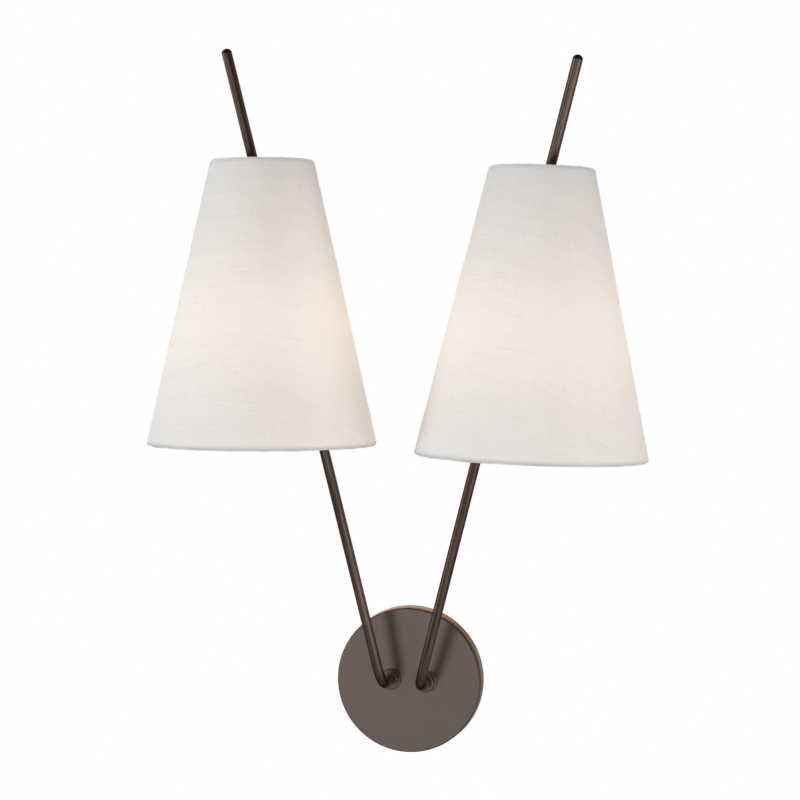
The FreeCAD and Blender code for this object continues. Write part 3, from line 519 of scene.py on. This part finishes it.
def linen_cloth(name, glow_at):
    """Slubbed plain weave, with the bulb's light through it painted on as emission."""
    paint = Paint(name + "_linen_cloth")
    point = paint.place()
    x, y, z = paint.parts_of(point)
    # The cloth laid flat again: rolled out from the side across from the lap, round the
    # cone's tip, which lies above.
    cos_lap, sin_lap = math.cos(LAP_TURN[name]), math.sin(LAP_TURN[name])
    lap_x = x * cos_lap + y * sin_lap
    lap_y = y * cos_lap - x * sin_lap
    turn = paint.node("Math", {"operation": "ARCTAN2"}, {0: lap_y, 1: 0.0 - lap_x})
    from_tip = (BOTTOM_RADIUS / SLOPE - z) / math.cos(CONE_ANGLE)
    flat_turn = turn * math.sin(CONE_ANGLE)
    across = from_tip * paint.node("Math", {"operation": "SINE"}, {0: flat_turn})
    along = from_tip * paint.node("Math", {"operation": "COSINE"}, {0: flat_turn})
    flat = paint.node("CombineXYZ", None, {0: across, 1: along, 2: 0.0})

    def threads_of(scales, detail=2.0):
        return paint.noise(paint.stretched(flat, scales), 1.0, detail=detail)

    weave = (
        0.5 * threads_of((420.0, 1500.0, 1.0), 3.0)
        + 0.5 * threads_of((1500.0, 300.0, 1.0), 3.0)
    )
    weft_slub = paint.between(threads_of((46.0, 1250.0, 1.0)), 0.53, 0.76)
    warp_slub = paint.between(threads_of((1250.0, 42.0, 1.0)), 0.54, 0.78)
    long_slub = paint.between(threads_of((24.0, 800.0, 1.0)), 0.60, 0.76)
    bars = threads_of((7.0, 150.0, 1.0))
    thick = 0.60 * weave + 0.18 * weft_slub + 0.17 * warp_slub + 0.14 * long_slub + 0.14 * bars
    cloud = paint.noise(flat, 22.0)
    dense = paint.between(thick, 0.22, 0.85)
    colour = paint.mixed(dense, (0.826, 0.808, 0.792), (0.674, 0.654, 0.636))
    colour = paint.mixed(0.22 * cloud, colour, (0.715, 0.695, 0.678))
    # The rolled edges wrap the wire, so little glow comes through, and their colour is greyed
    # as painted shade, most on the lower roll's underside.
    up_edge = SHADE_HEIGHT - z
    lower_roll_shade = 1.0 - paint.between(z, 0.0, LOWER_SHADE_BAND)
    upper_roll_shade = 1.0 - paint.between(up_edge, 0.0, UPPER_SHADE_BAND)
    shaded = 0.95 * lower_roll_shade * lower_roll_shade + 0.16 * upper_roll_shade
    colour = paint.mixed(shaded, colour, (0.36, 0.355, 0.35))
    # The cloth's painted glow from the bulb: less with distance and on a slanting wall, and a
    # share that has bounced about inside.
    away = paint.node("VectorMath", {"operation": "DISTANCE"}, {0: point, 1: glow_at}, output=1)
    rise = z - glow_at.z
    wall_gap = BOTTOM_RADIUS - SLOPE * z
    facing = (wall_gap * math.cos(CONE_ANGLE) + rise * math.sin(CONE_ANGLE)) / away
    reached = facing * (GLOW_GAP / away) ** 2.0
    even, growing = GLOW_SPREAD[name]
    rightward = even + growing * (0.5 - 0.5 * (y / wall_gap))
    light = 0.04 + 0.52 * reached + rightward * (0.305 + 0.136 * reached)
    light = light * (1.44 - 1.15 * thick) * (1.0 - 0.75 * lower_roll_shade - 0.4 * upper_roll_shade)
    # The open top lets the bulb's light out, so the painted glow is dimmer below it, and the
    # crest gets a painted highlight.
    light = light * (0.58 + 0.42 * paint.between(up_edge, 0.0, DIM_BAND))
    crest_highlight = 0.20 * (1.0 - paint.between(up_edge, 0.0, CREST_HIGHLIGHT_BAND))
    glow = paint.node("CombineXYZ", None, {
        channel: light * share + crest_highlight for channel, share in enumerate(GLOW_COLOUR)
    })
    return paint.done(paint.surface({
        "Base Color": colour,
        "Roughness": 0.92,
        "Emission Color": glow,
        "Emission Strength": 1.0,
        "Normal": paint.bumped(thick, 0.30, 0.00015),
    }))


def shade_film():
    """Milky film behind the linen, its light from the bulb painted on as a weak glow."""
    paint = Paint("shade_film")
    cloud = paint.noise(paint.place(), 60.0)
    return paint.done(paint.surface({
        "Base Color": paint.mixed(cloud, (0.82, 0.80, 0.76), (0.87, 0.85, 0.81)),
        "Roughness": 0.38,
        "Emission Color": (1.0, 0.80, 0.60),
        "Emission Strength": 0.16,
    }))


def mesh_piece(name, points, faces, place, material):
    """A piece from its points and faces in its own frame."""
    data = bpy.data.meshes.new(name)
    data.from_pydata(points, [], faces)
    data.polygons.foreach_set("use_smooth", [True] * len(data.polygons))
    data.set_sharp_from_angle(angle=math.radians(50.0))
    data.materials.append(material)
    data.update()
    piece = bpy.data.objects.new(name, data)
    bpy.context.scene.collection.objects.link(piece)
    piece.matrix_world = place
    return piece


def linen_sheet(lap_at, side_seed):
    """The rolled sheet: a thin strip once round the cone, its end lying on its start."""
    rows, columns = 44, 240
    climb_share = 0.3
    ripple_depth, ripple_pitch = 0.00007, 14.0
    full = 2.0 * math.pi
    wander = random.Random(side_seed)
    waves = [(wander.uniform(0, full), wander.uniform(0, full)) for _ in range(6)]
    points = []
    for column in range(columns + 1):
        turn = (full + LAP_ANGLE) * column / columns
        # The lapped end climbs over the start by the cloth's own thickness.
        climb = min(max((turn - full) / (climb_share * LAP_ANGLE) + 1.0, 0.0), 1.0)
        for row in range(rows + 1):
            height = LOWER_ROLL + (SHADE_HEIGHT - LOWER_ROLL - UPPER_ROLL) * row / rows
            ripple = sum(
                math.sin((3 + number) * turn + start)
                * math.sin(ripple_pitch * (1 + number) * height + up)
                for number, (start, up) in enumerate(waves)
            )
            edge_fade = math.sin(math.pi * row / rows)
            outer = edge_radius(height) + ripple_depth * ripple * edge_fade + climb * CLOTH
            for depth in (0.0, CLOTH):
                radius = outer - depth
                around = turn + lap_at
                points.append((radius * math.cos(around), radius * math.sin(around), height))
    stride = 2 * (rows + 1)
    faces = []
    for column in range(columns):
        for row in range(rows):
            a = column * stride + 2 * row
            b = a + stride
            faces.append((a, b, b + 2, a + 2))
            faces.append((a + 1, a + 3, b + 3, b + 1))
        low = column * stride
        faces.append((low, low + 1, low + stride + 1, low + stride))
        high = low + 2 * rows
        faces.append((high, high + stride, high + stride + 1, high + 1))
    for row in range(rows):
        a = 2 * row
        faces.append((a, a + 2, a + 3, a + 1))
        b = columns * stride + 2 * row
        faces.append((b, b + 1, b + 3, b + 2))
    return points, faces


def rolled_hem(edge, inward, reach, roll, seed):
    """A strip of the cloth tucked under the sheet and rolled over the edge and its wire."""
    wander = random.Random(seed)
    full = 2.0 * math.pi
    waves = [(wander.uniform(0, full), round(wander.uniform(5, 30))) for _ in range(7)]
    columns, steps = 300, 16
    wave_height = 0.00004
    thick, inside = 0.0005, -0.0044
    wide = -inside / 2
    # The closed section as (out, along), from the linen's outside and from the edge. The
    # strip lies deepest at its end and comes up flush where the roll begins.
    end_depth, bend_depth, flush_depth = 0.00025, 0.0001, 0.00002
    bend_at, flush_at = roll + 0.0012, roll + 0.0004
    outer = [(-end_depth, reach), (-bend_depth, bend_at), (-flush_depth, flush_at)]
    inner = [(-end_depth - thick, reach), (-bend_depth - thick, bend_at)]
    for step in range(steps + 1):
        angle = math.pi * step / steps
        level, upright = math.cos(angle), math.sin(angle)
        outer.append((wide * level - wide, roll - roll * upright))
        inner.append(((wide - thick) * level - wide, roll - (roll - thick) * upright))
    outer.append((inside, reach))
    inner.append((inside + thick, reach))
    section = outer + inner[::-1]
    count = len(section)
    points = []
    for column in range(columns):
        turn = full * column / columns
        wave = wave_height * sum(math.sin(start + rate * turn) for start, rate in waves)
        for out, along in section:
            radius = edge_radius(edge + inward * along) + out
            height = edge + inward * (along + wave * max(1.0 - along / roll, 0.0))
            points.append((radius * math.cos(turn), radius * math.sin(turn), height))
    faces = []
    for column in range(columns):
        a = column * count
        b = ((column + 1) % columns) * count
        for step in range(count):
            after = (step + 1) % count
            face = (a + step, b + step, b + after, a + after)
            faces.append(face if inward < 0 else face[::-1])
    return points, faces


film = shade_film()
# Laid flat, the sheet is a sector of a ring round the cone's tip, the lap included.
SHEET_SEED, LOWER_SEED, UPPER_SEED = 5, 21, 31
for name, side in SIDES:
    body = name + "_shade"
    place = shade_frame(side)
    low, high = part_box(name + "_bulb_glass")
    bulb_middle = place.inverted() @ ((low + high) / 2)
    linen = linen_cloth(name, bulb_middle)
    dress(film, name + "_shade_liner")

    rolled = linen_sheet(LAP_TURN[name], SHEET_SEED + side)
    sheet = mesh_piece(name + "_linen_sheet", *rolled, place, linen)
    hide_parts(name + "_shade_cover")
    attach(sheet, body)

    lower_hem = rolled_hem(0.0, 1, LOWER_TUCK, LOWER_ROLL, LOWER_SEED + side)
    lower = mesh_piece(name + "_lower_hem", *lower_hem, place, linen)
    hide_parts(name + "_shade_bottom_hem")
    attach(lower, body)

    upper_hem = rolled_hem(SHADE_HEIGHT, -1, UPPER_TUCK, UPPER_ROLL, UPPER_SEED + side)
    upper = mesh_piece(name + "_upper_hem", *upper_hem, place, linen)
    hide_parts(name + "_shade_top_hem")
    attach(upper, body)


# ---- room -----------------------------------------------------------------------------
# A pale floor well below the light, and a white surround that the camera and the metal
# see. Soft lamps: one in front, a window on the left, a fill on either side, a low one on
# the right and two from behind.

def pale_floor():
    """Pale paint; the camera alone sees it lifted towards the white around it."""
    paint = Paint("pale_floor")
    speck = paint.noise(paint.place(), 6.0)
    rays = paint.node("LightPath").socket.node.outputs
    camera_ray = Value(paint, rays["Is Camera Ray"])
    return paint.done(paint.surface({
        "Base Color": paint.mixed(speck, (0.80, 0.80, 0.79), (0.84, 0.84, 0.83)),
        "Roughness": 0.85,
        "Emission Color": paint.mixed(camera_ray, (0.0, 0.0, 0.0), (0.50, 0.50, 0.50)),
        "Emission Strength": 1.0,
    }))


FLOOR_DROP = 0.80
FLOOR_REACH = 1.6
FLOOR_BACK = 1.0
floor = mesh_piece(
    "floor",
    [
        (-FLOOR_REACH, -FLOOR_REACH, 0.0), (FLOOR_REACH, -FLOOR_REACH, 0.0),
        (FLOOR_REACH, FLOOR_BACK, 0.0), (-FLOOR_REACH, FLOOR_BACK, 0.0),
    ],
    [(0, 1, 2, 3)],
    Matrix.Translation((0.0, 0.0, -FLOOR_DROP)),
    pale_floor(),
)


def soft_lamp(name, at, towards, width, height, power, colour=(1.0, 1.0, 1.0)):
    lamp = bpy.data.lights.new(name, "AREA")
    lamp.shape = "RECTANGLE"
    lamp.size = width
    lamp.size_y = height
    lamp.energy = power
    lamp.color = colour
    holder = bpy.data.objects.new(name, lamp)
    bpy.context.scene.collection.objects.link(holder)
    holder.location = at
    holder.rotation_euler = (towards - at).to_track_quat("-Z", "Y").to_euler()


MIDDLE = Vector((0.0, -0.1, 0.2))
soft_lamp("key_lamp", Vector((-0.49, -2.30, -0.21)), Vector((0.0, 0.0, 0.1)), 0.50, 0.50, 12.0)
soft_lamp("left_window", Vector((-2.3, -1.15, 0.35)), MIDDLE, 0.8, 1.6, 27.2, (0.93, 0.98, 1.0))
soft_lamp("left_fill", Vector((-1.8, -0.35, 0.05)), MIDDLE, 0.8, 0.8, 4.1)
soft_lamp("right_fill", Vector((1.8, -0.35, 0.05)), MIDDLE, 0.8, 0.8, 4.0)
soft_lamp("low_right_lamp", Vector((1.1, -1.1, -0.35)), MIDDLE, 1.4, 0.8, 13.0)
soft_lamp("right_rim_lamp", Vector((1.8, 1.5, 0.3)), MIDDLE, 0.8, 0.8, 6.5)
soft_lamp("wall_side_lamp", Vector((-0.6, 2.4, 0.9)), MIDDLE, 1.6, 1.6, 24.0)


# How bright the surround is where it lights a surface, and in metal seen towards the room.
AMBIENT = 0.15
ROOM_GLOSS = 0.28


def white_surround():
    """White to the camera. Metal sees white behind the sconce and a dimmer room in front."""
    world = bpy.data.worlds.new("white_surround")
    bpy.context.scene.world = world
    paint = Paint("white_surround", world)
    rays = paint.node("LightPath").socket.node.outputs
    camera_ray = Value(paint, rays["Is Camera Ray"])
    mirrored = Value(paint, rays["Is Glossy Ray"]) + Value(paint, rays["Is Transmission Ray"])
    along_y = paint.parts_of(paint.node("TexCoord", output="Generated"))[1]
    behind = paint.between(along_y, -0.25, 0.25)
    seen = mirrored * (ROOM_GLOSS + (1.0 - ROOM_GLOSS) * behind)
    strength = camera_ray + (1.0 - camera_ray) * (seen + (1.0 - mirrored) * AMBIENT)
    light = paint.node("Background", None, {"Color": (1.0, 1.0, 1.0), "Strength": strength})
    return paint.done(light, "OutputWorld")


white_surround()


# ---- camera ---------------------------------------------------------------------------
# A long lens two metres off, a little right of the sconce and level with its shades. It
# looks slightly down and is rolled slightly, as the photograph is.

CAMERA_AT = Vector((0.37139, -1.98350, 0.33730))
YAW = math.radians(11.11)
PITCH = math.radians(-3.04)
ROLL = math.radians(1.94)
ahead = Vector((
    -math.sin(YAW) * math.cos(PITCH), math.cos(YAW) * math.cos(PITCH), math.sin(PITCH),
))
level = ahead.cross(Vector((0, 0, 1))).normalized()
above = level.cross(ahead)
right = math.cos(ROLL) * level + math.sin(ROLL) * above
up = -math.sin(ROLL) * level + math.cos(ROLL) * above
camera = bpy.data.cameras.new("camera")
camera.lens = 110.19
camera.sensor_width = 36.0
camera.clip_start = 0.05
camera.clip_end = 50.0
eye = bpy.data.objects.new("camera", camera)
bpy.context.scene.collection.objects.link(eye)
camera_turn = Matrix((right, up, -ahead)).transposed().to_4x4()
eye.matrix_world = Matrix.Translation(CAMERA_AT) @ camera_turn
bpy.context.scene.camera = eye

bpy.context.scene.view_settings.view_transform = "Standard"
